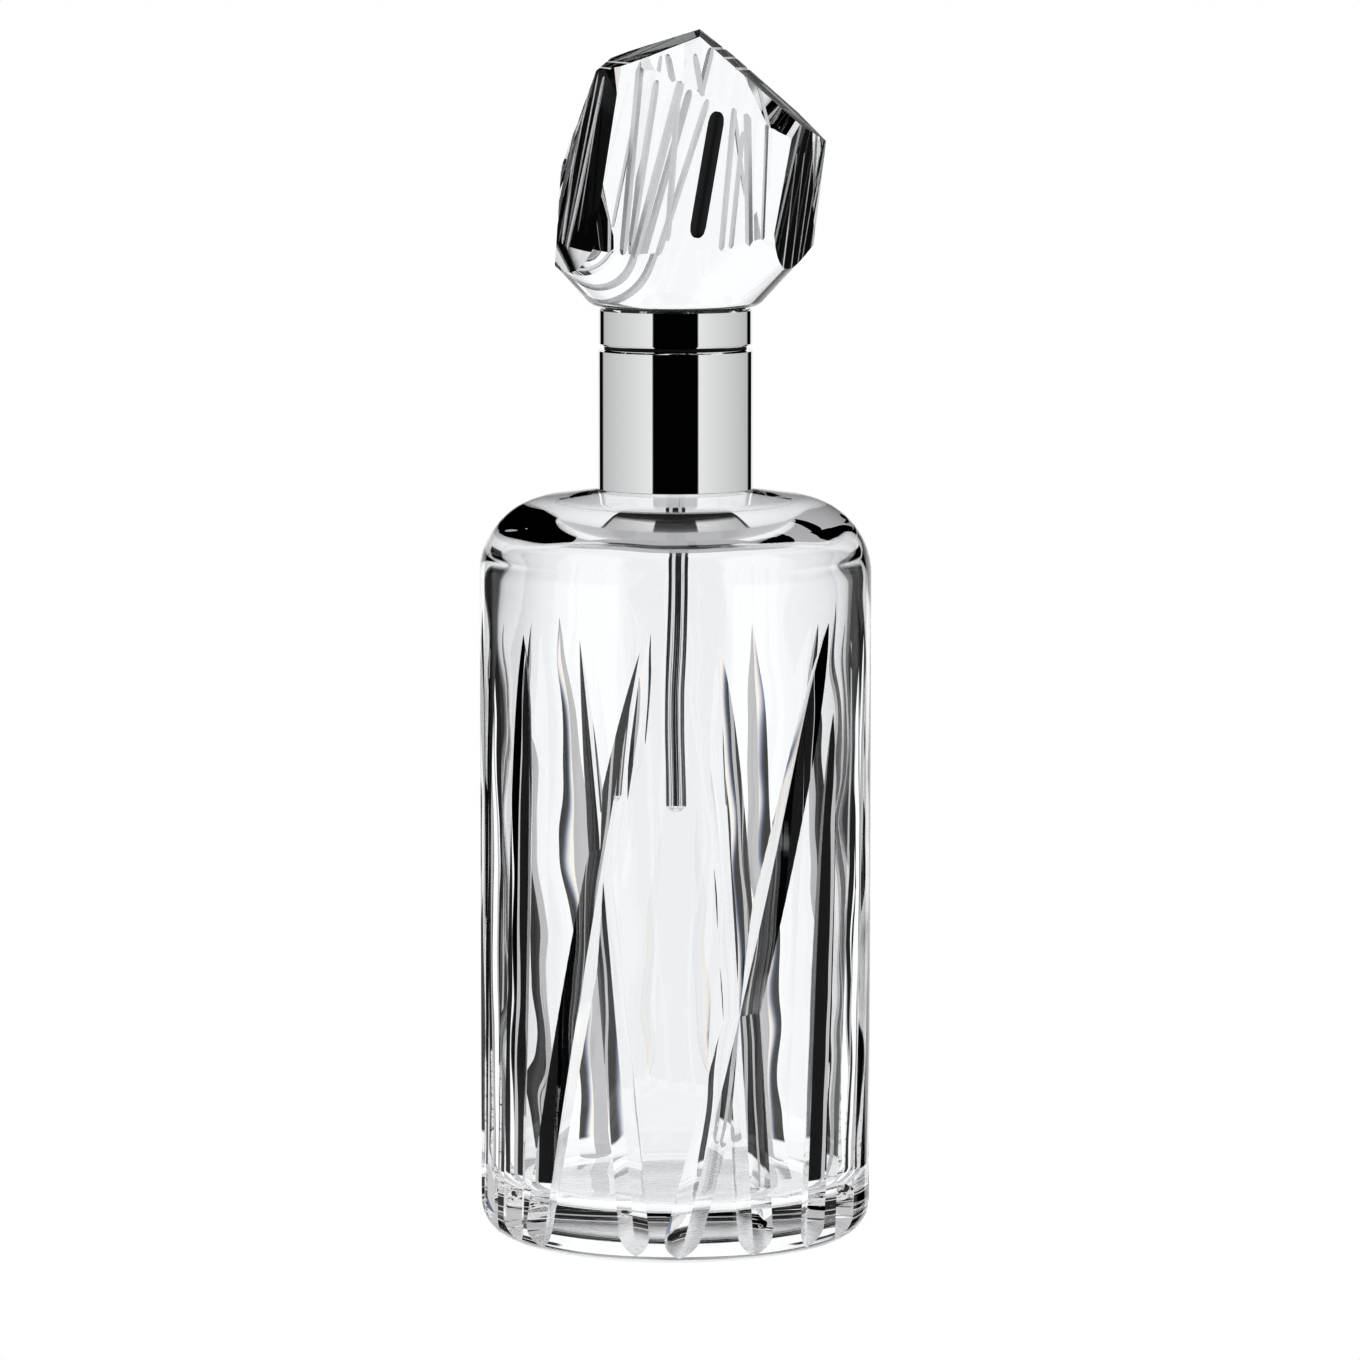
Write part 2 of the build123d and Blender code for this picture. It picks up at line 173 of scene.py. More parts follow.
def make_world():
    """The studio as each kind of ray finds it; the camera itself sees plain white."""
    world = bpy.data.worlds.new("studio")
    bpy.context.scene.world = world
    world.use_nodes = True
    n = Nodes(world.node_tree)
    direction = n.add("SeparateXYZ")
    n.join(n.add("TexCoord").outputs["Generated"], direction.inputs[0])
    x, y, z = direction.outputs
    azimuth = n.math("ABSOLUTE", n.math("ARCTAN2", x, n.math("MULTIPLY", y, -1.0)))
    turn = n.math("DIVIDE", azimuth, pi)
    rise = n.math("ADD", n.math("DIVIDE", n.math("ARCSINE", z), pi), 0.5)

    metal_ring = n.ramp(turn, by_angle([
        (0, METAL_FRONT), (FRONT_DARK - 1, METAL_FRONT), (FRONT_DARK + 1, 0.89), (60, 0.81),
        (100, 0.7), (SIDE_END - 4, 0.6), (SIDE_END + 1, DARK), (GAP_END - 1, DARK),
        (GAP_END + 1, 0.92), (180, 0.96)]))
    glass_sides = [(0, DARK), (FRONT_DARK - 2, DARK), (FRONT_DARK + 2, 0.9), (60, 0.85),
                   (GLASS_SIDE_END - 4, 0.8), (GLASS_SIDE_END, DARK)]
    low_ring = n.ramp(turn, by_angle(glass_sides + [
        (GLASS_GAP_END - 1, DARK), (GLASS_GAP_END, GAP_RIM_COOL),
        (GLASS_GAP_END + 1, GAP_RIM_WARM), (GLASS_GAP_END + 4, 0.97), (180, 1.0)]))
    high_ring = n.ramp(turn, by_angle(glass_sides + [
        (GLASS_HIGH_GAP_END - 4, DARK), (GLASS_HIGH_GAP_END, 0.97), (180, 1.0)]))
    raised = n.ramp(rise, by_height([(-90, 0.0), (HIGH_GAP_START, 0.0), (HIGH_GAP_FULL, 1.0),
                                     (90, 1.0)]))
    glass_ring = n.mix(raised, low_ring, high_ring)

    def studio(ring, top, ground_start):
        """The ring of light, with a dark ceiling above it and a white ground below."""
        ceiling = n.ramp(rise, by_height([(-90, 1.0), (top - CEILING_EDGE, 1.0), (top, DARK),
                                          (90, DARK)]))
        ground = n.ramp(rise, by_height([(-90, 1.0), (-ground_start - GROUND_EDGE, 1.0),
                                         (-ground_start, 0.0), (90, 0.0)]))
        return n.mix(ground, n.multiply(ring, ceiling), WHITE)

    path = n.add("LightPath")
    through = n.multiply(studio(glass_ring, GLASS_CEILING, GLASS_GROUND),
                         tuple(BACKDROP * part for part in GLASS_TINT) + (1,))
    mirrored = n.mix(path.outputs["Is Singular Ray"],
                     studio(metal_ring, METAL_CEILING, METAL_GROUND),
                     studio(metal_ring, GLOSS_CEILING, METAL_GROUND))
    seen = n.mix(path.outputs["Is Transmission Ray"], mirrored, through)
    seen = n.mix(n.math("GREATER_THAN", path.outputs["Glossy Depth"], LAST_MIRROR), seen,
                 MIRRORED_LIGHT)
    seen = n.mix(n.math("GREATER_THAN", path.outputs["Ray Depth"], LAST_BOUNCE), seen,
                 TRAPPED_LIGHT)
    seen = n.mix(path.outputs["Is Camera Ray"], seen, WHITE)
    seen = n.mix(path.outputs["Is Diffuse Ray"], seen, DIFFUSE_LIGHT)
    background = n.add("Background")
    n.join(seen, background.inputs[0])
    n.join(background.outputs[0], n.add("OutputWorld").inputs[0])


make_world()
bpy.context.scene.view_settings.view_transform = "Standard"
bpy.context.scene.view_settings.gamma = CONTRAST_GAMMA

FLOOR_RADIUS = 0.34
FLOOR_SEGMENTS = 96
FLOOR_DROP = 0.0002


def make_floor():
    """White disc just under the object, which only the camera sees."""
    bm = bmesh.new()
    bmesh.ops.create_circle(bm, cap_ends=True, radius=FLOOR_RADIUS, segments=FLOOR_SEGMENTS)
    mesh = bpy.data.meshes.new("floor")
    bm.to_mesh(mesh)
    bm.free()
    floor = bpy.data.objects.new("floor", mesh)
    bpy.context.collection.objects.link(floor)
    floor.location.z = -FLOOR_DROP
    material = bpy.data.materials.new("floor")
    material.use_nodes = True
    n = Nodes(material.node_tree)
    glow = n.add("Emission")
    glow.inputs[0].default_value = WHITE
    glow.inputs[1].default_value = 1.0
    seen = n.add("MixShader")
    n.join(n.add("LightPath").outputs["Is Camera Ray"], seen.inputs[0])
    n.join(n.add("BsdfTransparent").outputs[0], seen.inputs[1])
    n.join(glow.outputs[0], seen.inputs[2])
    n.join(seen.outputs[0], n.add("OutputMaterial").inputs[0])
    mesh.materials.append(material)


make_floor()


# ------------------------------------------------------------------ materials
def principled(name, **values):
    """New material of one shader; underscores in the socket names stand for spaces."""
    material = bpy.data.materials.new(name)
    material.use_nodes = True
    n = Nodes(material.node_tree)
    shader = n.add("BsdfPrincipled")
    for socket, value in values.items():
        shader.inputs[socket.replace("_", " ")].default_value = value
    n.join(shader.outputs[0], n.add("OutputMaterial").inputs[0])
    return material, n, shader


def grain(n, scale, detail=3.0):
    """Noise with about scale grains to the metre of the object."""
    noise = n.add("TexNoise")
    noise.inputs["Scale"].default_value = scale
    noise.inputs["Detail"].default_value = detail
    n.join(n.add("TexCoord").outputs["Object"], noise.inputs["Vector"])
    return noise.outputs[0]


def bump(n, shader, height, distance, strength=1.0):
    """Bump of up to distance in metres."""
    node = n.add("Bump")
    node.inputs["Strength"].default_value = strength
    node.inputs["Distance"].default_value = distance
    n.join(height, node.inputs["Height"])
    n.join(node.outputs[0], shader.inputs["Normal"])


def spread(n, factor, low, high):
    """A 0 to 1 value carried over to low to high."""
    node = n.add("MapRange")
    node.inputs["To Min"].default_value = low
    node.inputs["To Max"].default_value = high
    n.join(factor, node.inputs["Value"])
    return node.outputs[0]


CRYSTAL_IOR = 1.545
# Light that is mirrored about in the thick foot and in the shoulder is let out in level
# streaks, fine in the foot and broad in the shoulder. Streaks are noise scales along x, y and z
# to the metre, heights are in metres, and where the noise is under the dark level the glass
# keeps its light.
FOOT_STREAKS, FOOT_DARK_LEVEL = (70.0, 70.0, 1300.0), 0.41
FOOT_LIGHT_TOP = 0.04
SHOULDER_STREAKS, SHOULDER_DARK_LEVEL = (24.0, 24.0, 260.0), 0.555
SHOULDER_LIGHT_LOW, SHOULDER_LIGHT_HIGH = 0.158, 0.2
# The underside is ground in streaks from side to side: the depth is in metres.
GROUND_STREAKS, GROUND_ROUGHNESS = (160.0, 1440.0, 160.0), (0.12, 0.4)
GROUND_DEPTH, GROUND_STRENGTH = 0.0002, 0.7
# Of moulded and poured materials: how dark their mottle goes, how much finer the patches in
# their roughness and the pits in their surface are than the mottle, and the pits' strength.
MOTTLE_DARK, MOTTLE_PATCHES, MOTTLE_PITS, MOTTLE_STRENGTH = 0.85, 3, 6, 0.4


def streaks(n, scale):
    """Noise drawn out along the object's axes."""
    stretch = n.add("Mapping")
    stretch.inputs["Scale"].default_value = scale
    n.join(n.add("TexCoord").outputs["Object"], stretch.inputs["Vector"])
    noise = n.add("TexNoise")
    noise.inputs["Scale"].default_value = 1.0
    n.join(stretch.outputs[0], noise.inputs["Vector"])
    return noise.outputs[0]


def let_out(n, shader, opened):
    """Mixes the glass to clear for rays that are trapped in it, so that they leave it."""
    freed = n.add("MixShader")
    n.join(is_trapped(n, opened), freed.inputs[0])
    n.join(shader.outputs[0], freed.inputs[1])
    n.join(n.add("BsdfTransparent").outputs[0], freed.inputs[2])
    output = next(node for node in n.tree.nodes if node.type == "OUTPUT_MATERIAL")
    n.join(freed.outputs[0], output.inputs[0])


def make_crystal(name, waves, depth):
    """Clear glass with waves to the metre in its surface, depth metres deep."""
    material, n, shader = principled(name, Base_Color=(1, 1, 1, 1), IOR=CRYSTAL_IOR,
                                     Transmission_Weight=1.0, Roughness=0.0)
    bump(n, shader, grain(n, waves, 1.0), depth)
    place = n.add("SeparateXYZ")
    n.join(n.add("TexCoord").outputs["Object"], place.inputs[0])
    height = place.outputs[2]
    in_foot = n.math("LESS_THAN", height, FOOT_LIGHT_TOP)
    foot_lit = n.math("GREATER_THAN", streaks(n, FOOT_STREAKS), FOOT_DARK_LEVEL)
    over_shoulder = n.math("GREATER_THAN", height, SHOULDER_LIGHT_HIGH)
    over_wall = n.math("GREATER_THAN", height, SHOULDER_LIGHT_LOW)
    in_shoulder = n.math("SUBTRACT", over_wall, over_shoulder)
    shoulder_lit = n.math("GREATER_THAN", streaks(n, SHOULDER_STREAKS), SHOULDER_DARK_LEVEL)
    let_out(n, shader, n.math("ADD", n.math("MULTIPLY", in_foot, foot_lit),
                              n.math("MULTIPLY", in_shoulder, shoulder_lit)))
    return material


def make_ground_foot():
    """The underside of the bottle: glass with grinding marks that pick up the light."""
    material, n, shader = principled("ground_foot", Base_Color=(0.97, 0.97, 0.98, 1),
                                     IOR=CRYSTAL_IOR, Transmission_Weight=1.0)
    ground = streaks(n, GROUND_STREAKS)
    n.join(spread(n, ground, *GROUND_ROUGHNESS), shader.inputs["Roughness"])
    bump(n, shader, ground, GROUND_DEPTH, GROUND_STRENGTH)
    let_out(n, shader, 1.0)
    return material


def finish_surface(n, shader, patches, roughness, pits, depth, strength):
    """Roughness that varies in patches, and pits depth metres deep.

    Patches and pits are counted to the metre."""
    n.join(spread(n, grain(n, patches), *roughness), shader.inputs["Roughness"])
    bump(n, shader, grain(n, pits), depth, strength)


def make_hard(name, patches, roughness, pits, depth, strength, **values):
    """Glass or metal of one colour."""
    material, n, shader = principled(name, **values)
    finish_surface(n, shader, patches, roughness, pits, depth, strength)
    return material


def make_plain(name, colour, roughness, scale, depth, **values):
    """Moulded or poured material with a faint mottle in its colour."""
    material, n, shader = principled(name, **values)
    darker = tuple(part * MOTTLE_DARK for part in colour)
    n.join(n.mix(grain(n, scale), darker + (1,), colour + (1,)), shader.inputs["Base Color"])
    finish_surface(n, shader, scale * MOTTLE_PATCHES, roughness, scale * MOTTLE_PITS, depth,
                   MOTTLE_STRENGTH)
    return material


crystal = make_crystal("crystal", waves=60.0, depth=0.000012)
blown_crystal = make_crystal("blown_crystal", waves=30.0, depth=0.0017)
satin_cut = make_hard("satin_cut", patches=900.0, roughness=(0.2, 0.42), pits=2600.0,
                      depth=0.00003, strength=0.5, Base_Color=(0.5, 0.5, 0.51, 1),
                      IOR=CRYSTAL_IOR, Transmission_Weight=1.0)
# Painted shade: near-black glass without transmission for the knob's broad line, which is clear
# crystal that only looks dark.
painted_shade_cut = make_hard("painted_shade_cut", patches=700.0, roughness=(0.25, 0.45), pits=2200.0,
                     depth=0.00003, strength=0.5, Base_Color=(0.01, 0.01, 0.012, 1),
                     IOR=CRYSTAL_IOR)
ground_foot = make_ground_foot()
metal = make_hard("mirror_metal", patches=45.0, roughness=(0.012, 0.04), pits=1400.0,
                  depth=0.000002, strength=0.3, Base_Color=(0.93, 0.935, 0.94, 1),
                  Metallic=1.0)
rubber = make_plain("black_rubber", (0.02, 0.02, 0.02), (0.5, 0.75), 300.0, 0.00003)
liner = make_plain("liner_plastic", (0.8, 0.81, 0.82), (0.3, 0.45), 200.0, 0.00002)
plug = make_plain("plug_plastic", (0.05, 0.05, 0.055), (0.35, 0.5), 200.0, 0.00002)
cement = make_plain("clear_cement", (0.85, 0.86, 0.88), (0.15, 0.35), 500.0, 0.00004,
                    Transmission_Weight=0.8, IOR=1.5)

for node, material in {"neck_cement": cement, "neck_liner": liner, "stopper_plug": plug,
                       "o_ring_upper": rubber, "o_ring_lower": rubber,
                       "rod_ferrule": metal}.items():
    for material_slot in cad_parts[node].material_slots:
        material_slot.material = material


# ------------------------------------------------------------------ mesh helpers
# Profiles and cutters are worked out in millimetres, and meshes are made in metres. A place
# nearer than ON_AXIS to the axis is on it, and places nearer than SAME_PLACE are one.
ON_AXIS = 1e-6
SAME_PLACE = 1e-5
TURNED_SEGMENTS = 160


def radial(radius, angle):
    """A point in plan, at an angle in degrees from the front (-Y) towards +X."""
    return Vector((radius * sin(radians(angle)), -radius * cos(radians(angle)), 0))


def link(name, mesh, *materials):
    piece = bpy.data.objects.new(name, mesh)
    bpy.context.collection.objects.link(piece)
    for material in materials:
        mesh.materials.append(material)
    return piece


def line_run(start, end, steps=1):
    """Straight stretch of a profile: points (r, z) with the outward normal."""
    (r0, z0), (r1, z1) = start, end
    normal = Vector((z1 - z0, r0 - r1)).normalized()
    return [(r0 + (r1 - r0) * i / steps, z0 + (z1 - z0) * i / steps, normal.x, normal.y)
            for i in range(steps + 1)]


def arc_run(centre, radius, start, end, steps, inward=False):
    """Round stretch of a profile; inward is for the hollow side of the glass."""
    sign = -1 if inward else 1
    points = []
    for i in range(steps + 1):
        a = radians(start + (end - start) * i / steps)
        points.append((centre[0] + radius * cos(a), centre[1] + radius * sin(a),
                       sign * cos(a), sign * sin(a)))
    return points


def gap(a, b):
    """How far apart two places of a profile are, across and up together."""
    return abs(a[0] - b[0]) + abs(a[1] - b[1])


def lathe(name, runs, segments):
    """Closed solid of revolution through runs that follow each other round the section.

    Each face carries its run's number as its material index, for set_normals."""
    bm = bmesh.new()
    rings = []

    def ring_at(r, z):
        if r < ON_AXIS:
            return [bm.verts.new((0, 0, z * MM))]
        return [bm.verts.new((*(radial(r, 360 * k / segments) * MM).xy, z * MM))
                for k in range(segments)]

    places = []
    for run in runs:
        for r, z, *_ in run:
            if not places or gap(places[-1], (r, z)) > SAME_PLACE:
                places.append((r, z))
                rings.append(ring_at(r, z))
    hollow = places[0][0] > ON_AXIS
    if hollow:
        if gap(places[0], places[-1]) < SAME_PLACE:
            for vertex in rings.pop():
                bm.verts.remove(vertex)
            places.pop()
        rings.append(rings[0])
    index = 0
    for number, run in enumerate(runs):
        for _ in range(len(run) - 1):
            a, b = rings[index], rings[index + 1]
            index += 1
            for k in range(segments):
                corners = [a[k % len(a)], a[(k + 1) % segments % len(a)],
                           b[(k + 1) % segments % len(b)], b[k % len(b)]]
                face = bm.faces.new(list(dict.fromkeys(corners)))
                face.material_index = number
                face.smooth = True
    mesh = bpy.data.meshes.new(name)
    bm.to_mesh(mesh)
    bm.free()
    return mesh


def run_normal(run, r, z):
    """Outward normal of a run at a place, between its two nearest points if it is round."""
    if len(run) == 2 or run[0][2:] == run[-1][2:]:
        return run[0][2:]
    near = sorted(run, key=lambda p: (p[0] - r) ** 2 + (p[1] - z) ** 2)[:2]
    da = ((near[0][0] - r) ** 2 + (near[0][1] - z) ** 2) ** 0.5
    db = ((near[1][0] - r) ** 2 + (near[1][1] - z) ** 2) ** 0.5
    share = da / (da + db) if da + db > 0 else 0
    normal = Vector(near[0][2:]).lerp(Vector(near[1][2:]), share).normalized()
    return normal.x, normal.y


def turned_normal(run, point):
    """Outward normal of a turned surface at a point on it."""
    r = point.xy.length
    nr, nz = run_normal(run, r, point.z)
    if r < ON_AXIS:
        return Vector((0, 0, nz))
    return Vector((nr * point.x / r, nr * point.y / r, nz))


def set_normals(mesh, normal_at):
    """Exact smooth normals from normal_at(face number, point in mm); clears the numbers."""
    normals = []
    for polygon in mesh.polygons:
        polygon.use_smooth = True
        for vertex in polygon.vertices:
            point = mesh.vertices[vertex].co / MM
            normals.append(normal_at(polygon.material_index, point))
    for polygon in mesh.polygons:
        polygon.material_index = 0
    mesh.normals_split_custom_set(normals)


def turned(name, runs, material, segments=TURNED_SEGMENTS):
    """Finished lathe-turned piece with exact normals."""
    mesh = lathe(name, runs, segments)
    set_normals(mesh, lambda number, point: turned_normal(runs[number], point))
    return link(name, mesh, material)


def subtract(mesh, cutters):
    """Takes the cutters' meshes out of a mesh, and keeps the face numbers of both."""
    target = bpy.data.objects.new("blank", mesh)
    bpy.context.collection.objects.link(target)
    bm = bmesh.new()
    for cutter in cutters:
        bm.from_mesh(cutter)
    joined = bpy.data.meshes.new("cutters")
    bm.to_mesh(joined)
    bm.free()
    tool = bpy.data.objects.new("tool", joined)
    bpy.context.collection.objects.link(tool)
    modifier = target.modifiers.new("cut", "BOOLEAN")
    modifier.operation = "DIFFERENCE"
    modifier.object = tool
    modifier.solver = "EXACT"
    modifier.use_self = True
    modifier.material_mode = "INDEX"
    graph = bpy.context.evaluated_depsgraph_get()
    result = bpy.data.meshes.new_from_object(target.evaluated_get(graph))
    bpy.data.objects.remove(target)
    bpy.data.objects.remove(tool)
    return result


# ------------------------------------------------------------------ cut crystal bottle
# Lengths in mm, angles in degrees.
BODY_RADIUS = 47.5
CAVITY_RADIUS = 42.3
FLOOR_TOP = 12.0
FOOT_ROUND = 8.0
CAVITY_FOOT_ROUND = 6.0
SHOULDER_START, SHOULDER_ROUND, SHOULDER_TURN = 161.6, 19.0, 83.0
CAVITY_SHOULDER_START, CAVITY_SHOULDER_ROUND, CAVITY_SHOULDER_TURN = 165.0, 7.0, 70.0
ROOF_SLOPE = 18.0
NECK_RADIUS, NECK_BORE, NECK_START, NECK_TOP = 16.6, 13.5, 182.2, 213.8
BODY_SEGMENTS = 288
# The first of the section's runs that was blown, not turned or ground: the cavity's shoulder.
CAVITY_RUN = 9

# Depth of a full cut, and how far its cutter stands proud of the glass.
CUT_DEPTH, CUT_CLEARANCE = 3.1, 1.6
# Half angle of the flatter face of every cut, and of the steeper face of the short ones.
FLAT_SIDE, SHORT_STEEP = 62.0, 56.0
# How far a cutter runs past a pointed end, where it ends under the foot, its sections, and how
# much they crowd towards the pointed top.
CUT_OVERRUN, CUT_FOOT, CUT_SECTIONS, TOP_CROWDING = 1.0, -1.0, 44, 1.5
# Half the height over which a cut's direction is taken.
ALONG_STEP = 0.2

# angle and height of the pointed top, angle at the foot, share of full depth, deepening run,
# half angle of the steeper face
LONG_CUTS = [
    (-28.4, 150.0, -11.8, 0.8, 40.0, 53.0),
    (-10.1, 147.5, -46.3, 1.0, 30.0, 52.0),
    (12.6, 149.0, 25.2, 1.0, 20.0, 54.0),
    (50.2, 152.7, 0.8, 1.0, 14.0, 51.5),
    (52.5, 131.0, 44.5, 0.9, 22.0, 51.0),
    (72.0, 152.0, 60.0, 1.0, 18.0, 51.0),
    (-49.5, 150.0, -57.0, 1.0, 18.0, 51.0),
    (-64.0, 146.0, -71.0, 0.9, 22.0, 51.0),
    (-79.0, 154.0, -85.0, 0.95, 20.0, 51.0),
    (-101.0, 150.0, -93.0, 1.0, 24.0, 51.0),
    (-119.5, 147.5, -126.0, 0.95, 22.0, 51.0),
    (-139.5, 147.0, -153.5, 1.0, 24.0, 51.0),
    (153.8, 146.0, 142.0, 0.95, 24.0, 51.0),
    (125.0, 147.5, 113.0, 1.0, 20.0, 51.0),
    (95.0, 150.0, 105.0, 1.0, 20.0, 51.0),
    (112.0, 153.0, 84.0, 1.0, 20.0, 51.0),
]
# angle and height of each end, share of full depth, runs over which it deepens from each end
SHORT_CUTS = [
    (-6.9, 152.5, -14.2, 110.0, 0.55, 16.0, 10.0),
    (174.2, 98.0, 168.2, 31.0, 0.6, 45.0, 9.0),
    (-174.5, 98.0, -169.4, 29.0, 0.5, 45.0, 9.0),
]


class Cut:
    """One mitre cut: where its edge runs and how deep it is at each height.

    Its face towards the bottle's left or right outline is the steeper one."""

    def __init__(self, top_angle, top, low_angle, low, share, run, steep_side, low_run=None):
        self.half_angles = {True: steep_side, False: FLAT_SIDE}
        self.top_angle, self.top = top_angle, top
        self.low_angle, self.low = low_angle, low
        self.share, self.run, self.low_run = share, run, low_run
        self.steep = 1 if sin(radians(top_angle + low_angle)) > 0 else -1

    def angle(self, height):
        fall = (self.top - height) / (self.top - self.low)
        return self.top_angle + (self.low_angle - self.top_angle) * fall

    def depth(self, height):
        fade = exp((height - self.top) / self.run)
        if self.low_run:
            fade = max(fade, exp((self.low - height) / self.low_run))
        return self.share * CUT_DEPTH * (1 - fade)

    def point(self, height, side, out):
        """On face side (-1 or 1), at share out of the way from the edge to the back."""
        depth, angle = self.depth(height), self.angle(height)
        half = (depth + CUT_CLEARANCE) * tan(radians(self.half_angles[side == self.steep]))
        place = radial(BODY_RADIUS - depth + (depth + CUT_CLEARANCE) * out, angle)
        place += radial(half * side * out, angle + 90)
        place.z = height
        return place

    def normal(self, point, side):
        """Outward normal of the glass on one face of the cut."""
        height = point.z
        edge = self.point(height, side, 0)
        across = self.point(height, side, 1) - edge
        out = (point - edge).dot(across) / across.length_squared
        along = (self.point(height + ALONG_STEP, side, out)
                 - self.point(height - ALONG_STEP, side, out))
        normal = across.cross(along).normalized()
        return normal if normal.dot(radial(1, self.angle(height))) > 0 else -normal

    def heights(self):
        """Heights of the cutter's sections, from the top down."""
        top = self.top + CUT_OVERRUN
        low = self.low - CUT_OVERRUN if self.low_run else CUT_FOOT
        power = 1.0 if self.low_run else TOP_CROWDING
        return [top + (low - top) * (i / CUT_SECTIONS) ** power
                for i in range(CUT_SECTIONS + 1)]

    def mesh(self, number):
        """Closed cutter whose two cutting faces are numbered number and number + 1."""
        bm = bmesh.new()
        rows = [[bm.verts.new(self.point(h, side, out) * MM)
                 for side, out in ((1, 0), (1, 1), (-1, 1))] for h in self.heights()]
        for upper, lower in zip(rows, rows[1:]):
            for a, b, index in ((0, 1, number + 1), (1, 2, 0), (2, 0, number)):
                for corners in ((upper[a], upper[b], lower[b]), (upper[a], lower[b], lower[a])):
                    bm.faces.new(corners).material_index = index
        bm.faces.new(rows[0][::-1])
        bm.faces.new(rows[-1])
        bmesh.ops.recalc_face_normals(bm, faces=bm.faces)
        mesh = bpy.data.meshes.new("cutter")
        bm.to_mesh(mesh)
        bm.free()
        return mesh


def body_runs():
    """The glass's section, from the foot's centre up the outside and down the inside."""
    shoulder = arc_run((BODY_RADIUS - SHOULDER_ROUND, SHOULDER_START), SHOULDER_ROUND,
                       0, SHOULDER_TURN, 26)
    inner = arc_run((CAVITY_RADIUS - CAVITY_SHOULDER_ROUND, CAVITY_SHOULDER_START),
                    CAVITY_SHOULDER_ROUND, CAVITY_SHOULDER_TURN, 0, 20, inward=True)
    throat = inner[0][1] + (inner[0][0] - NECK_BORE) * tan(radians(ROOF_SLOPE))
    inner_foot = CAVITY_RADIUS - CAVITY_FOOT_ROUND
    return [
        line_run((0, 0), (BODY_RADIUS - FOOT_ROUND, 0)),
        arc_run((BODY_RADIUS - FOOT_ROUND, FOOT_ROUND), FOOT_ROUND, -90, 0, 12),
        line_run((BODY_RADIUS, FOOT_ROUND), (BODY_RADIUS, SHOULDER_START), 12),
        shoulder,
        line_run(shoulder[-1][:2], (NECK_RADIUS, NECK_START), 3),
        line_run((NECK_RADIUS, NECK_START), (NECK_RADIUS, NECK_TOP)),
        line_run((NECK_RADIUS, NECK_TOP), (NECK_BORE, NECK_TOP)),
        line_run((NECK_BORE, NECK_TOP), (NECK_BORE, throat), 2),
        line_run((NECK_BORE, throat), inner[0][:2], 3),
        inner,
        line_run((CAVITY_RADIUS, CAVITY_SHOULDER_START),
                 (CAVITY_RADIUS, FLOOR_TOP + CAVITY_FOOT_ROUND), 10),
        arc_run((inner_foot, FLOOR_TOP + CAVITY_FOOT_ROUND), CAVITY_FOOT_ROUND, 0, -90, 10,
                inward=True),
        line_run((inner_foot, FLOOR_TOP), (0, FLOOR_TOP)),
    ]


def make_body():
    """The bottle: a turned blank less its cuts, with a ground underside and a blown cavity."""
    runs = body_runs()
    cuts = [Cut(tip, top, foot, 0, *shape) for tip, top, foot, *shape in LONG_CUTS]
    cuts += [Cut(*cut[:-1], SHORT_STEEP, cut[-1]) for cut in SHORT_CUTS]
    # Faces are numbered by their run, and after those two to a cut.
    first = len(runs)
    blank = lathe("crystal_body_cut", runs, BODY_SEGMENTS)
    cutters = [cut.mesh(first + 2 * i) for i, cut in enumerate(cuts)]
    for mesh in [blank] + cutters:
        for _ in range(first + 2 * len(cuts)):
            mesh.materials.append(None)
    mesh = subtract(blank, cutters)

    def normal_at(number, point):
        if number < first:
            return turned_normal(runs[number], point)
        cut = cuts[(number - first) // 2]
        return cut.normal(point, 1 if (number - first) % 2 else -1)

    underside = [polygon for polygon in mesh.polygons if polygon.material_index == 0]
    cavity = [polygon for polygon in mesh.polygons
              if CAVITY_RUN <= polygon.material_index < first]
    set_normals(mesh, normal_at)
    mesh.materials.clear()
    piece = link("crystal_body_cut", mesh, crystal, ground_foot, blown_crystal)
    for polygon in underside:
        polygon.material_index = 1
    for polygon in cavity:
        polygon.material_index = 2
    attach(piece, "bottle")
    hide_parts("crystal_body")


make_body()

# ------------------------------------------------------------------ collar and small parts
SLEEVE_RADIUS, SLEEVE_BORE, SLEEVE_TOP = 18.8, 16.9, 216.2
# Height of the underside of the sleeve's inward lip, and the lip's bore.
SLEEVE_LIP, LIP_BORE = 214.0, 12.6
# Bevel of the metal's edges.
EDGE = 0.5
RING_BORE = 5.0
# Rounding of the rod's lower end as a share of its radius.
ROD_TIP = 0.8
WASHER_BORE, WASHER_ROUND = 11.6, 0.2
BOND_ROUND = 0.2
ROD_SEGMENTS, SMALL_SEGMENTS = 72, 120


def make_sleeve():
    bottom = NECK_START
    runs = [
        arc_run((SLEEVE_RADIUS - EDGE / 2, bottom + EDGE / 2), EDGE / 2, -90, 0, 6),
        line_run((SLEEVE_RADIUS, bottom + EDGE / 2), (SLEEVE_RADIUS, SLEEVE_TOP - EDGE), 4),
        line_run((SLEEVE_RADIUS, SLEEVE_TOP - EDGE), (SLEEVE_RADIUS - EDGE, SLEEVE_TOP)),
        line_run((SLEEVE_RADIUS - EDGE, SLEEVE_TOP), (LIP_BORE, SLEEVE_TOP)),
        line_run((LIP_BORE, SLEEVE_TOP), (LIP_BORE, SLEEVE_LIP)),
        line_run((LIP_BORE, SLEEVE_LIP), (SLEEVE_BORE, SLEEVE_LIP)),
        line_run((SLEEVE_BORE, SLEEVE_LIP), (SLEEVE_BORE, bottom)),
        line_run((SLEEVE_BORE, bottom), (SLEEVE_RADIUS - EDGE / 2, bottom)),
    ]
    piece = turned("neck_sleeve_polished", runs, metal)
    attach(piece, "bottle")
    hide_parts("neck_sleeve")


